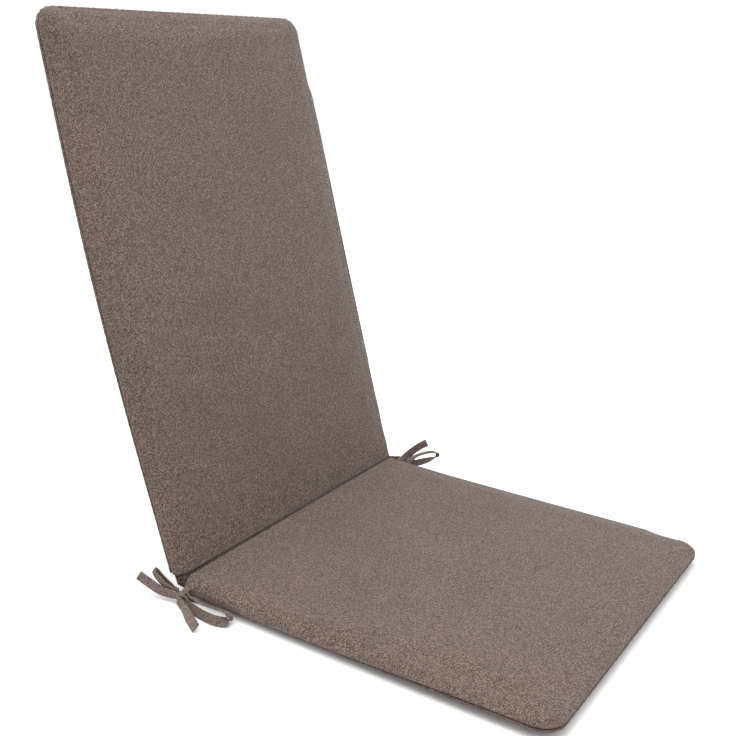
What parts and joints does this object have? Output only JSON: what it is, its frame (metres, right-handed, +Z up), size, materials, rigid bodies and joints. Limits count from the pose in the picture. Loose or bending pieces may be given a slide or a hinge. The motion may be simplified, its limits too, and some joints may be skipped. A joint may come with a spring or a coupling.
{
  "type": "chair seat pad",
  "caption": "High-back chair pad: a foam seat panel and a foam back panel in a woven cover, joined by a sewn fold, with tie bows at the fold's ends and side zips.",
  "frame": {"origin": "centre of the flat underside of the seat panel", "axes": "+Z up from the seat, +Y from the seat's front edge towards the fold and the back panel, +X to the right of someone who faces the pad from its front"},
  "size_m": [0.5877, 0.7244, 0.6979],
  "materials": {
    "cover_fabric": "plain-woven melange upholstery cloth, matt, taupe",
    "tie_tape": "folded and stitched self-fabric tape, matt",
    "foam": "open-cell upholstery foam, cream",
    "zip_tape": "woven zip tape with a spiral coil, matt brown",
    "zip_metal": "satin grey die-cast metal"
  },
  "bodies": {
    "seat": {"seat_cover_top": "cover_fabric", "seat_cover_underside": "cover_fabric", "seat_foam": "foam", "seat_zip_upper_stringer": "zip_tape", "seat_zip_lower_stringer": "zip_tape", "seat_zip_bottom_stop": "zip_metal", "seat_zip_top_stop": "zip_metal", "fold_seam": "cover_fabric", "left_tie_root": "tie_tape", "left_tie_knot": "tie_tape", "left_tie_front_loop": "tie_tape", "left_tie_front_tail": "tie_tape", "left_tie_rear_loop": "tie_tape", "left_tie_rear_tail": "tie_tape", "right_tie_root": "tie_tape", "right_tie_knot": "tie_tape", "right_tie_front_loop": "tie_tape", "right_tie_front_tail": "tie_tape", "right_tie_rear_loop": "tie_tape", "right_tie_rear_tail": "tie_tape"},
    "back": {"back_cover_front": "cover_fabric", "back_cover_rear": "cover_fabric", "back_foam": "foam", "back_zip_upper_stringer": "zip_tape", "back_zip_lower_stringer": "zip_tape", "back_zip_bottom_stop": "zip_metal", "back_zip_top_stop": "zip_metal"},
    "seat_zip_slider": {"seat_zip_slider": "zip_metal"},
    "seat_zip_pull": {"seat_zip_pull": "zip_metal"},
    "back_zip_slider": {"back_zip_slider": "zip_metal"},
    "back_zip_pull": {"back_zip_pull": "zip_metal"}
  },
  "joints": [
    {"name": "fold", "type": "hinge", "parent": "seat", "child": "back", "pos_m": [0, 0.25, 0.0305], "axis": [1, 0, 0], "range_deg": [-73.5, 105]},
    {"name": "seat_zip_slide", "type": "slide", "parent": "seat", "child": "seat_zip_slider", "axis": [0, -1, 0], "range_m": [0, 0.3244]},
    {"name": "seat_zip_pull_swing", "type": "hinge", "parent": "seat_zip_slider", "child": "seat_zip_pull", "pos_m": [0.25075, 0.1672, 0.015], "axis": [0, 0, -1], "range_deg": [0, 180]},
    {"name": "back_zip_slide", "type": "slide", "parent": "back", "child": "back_zip_slider", "axis": [0, 0.284, 0.9588], "range_m": [0, 0.4844]},
    {"name": "back_zip_pull_swing", "type": "hinge", "parent": "back_zip_slider", "child": "back_zip_pull", "pos_m": [0.25075, 0.28838, 0.10549], "axis": [0, -0.9588, 0.284], "range_deg": [0, 180]}
  ]
}
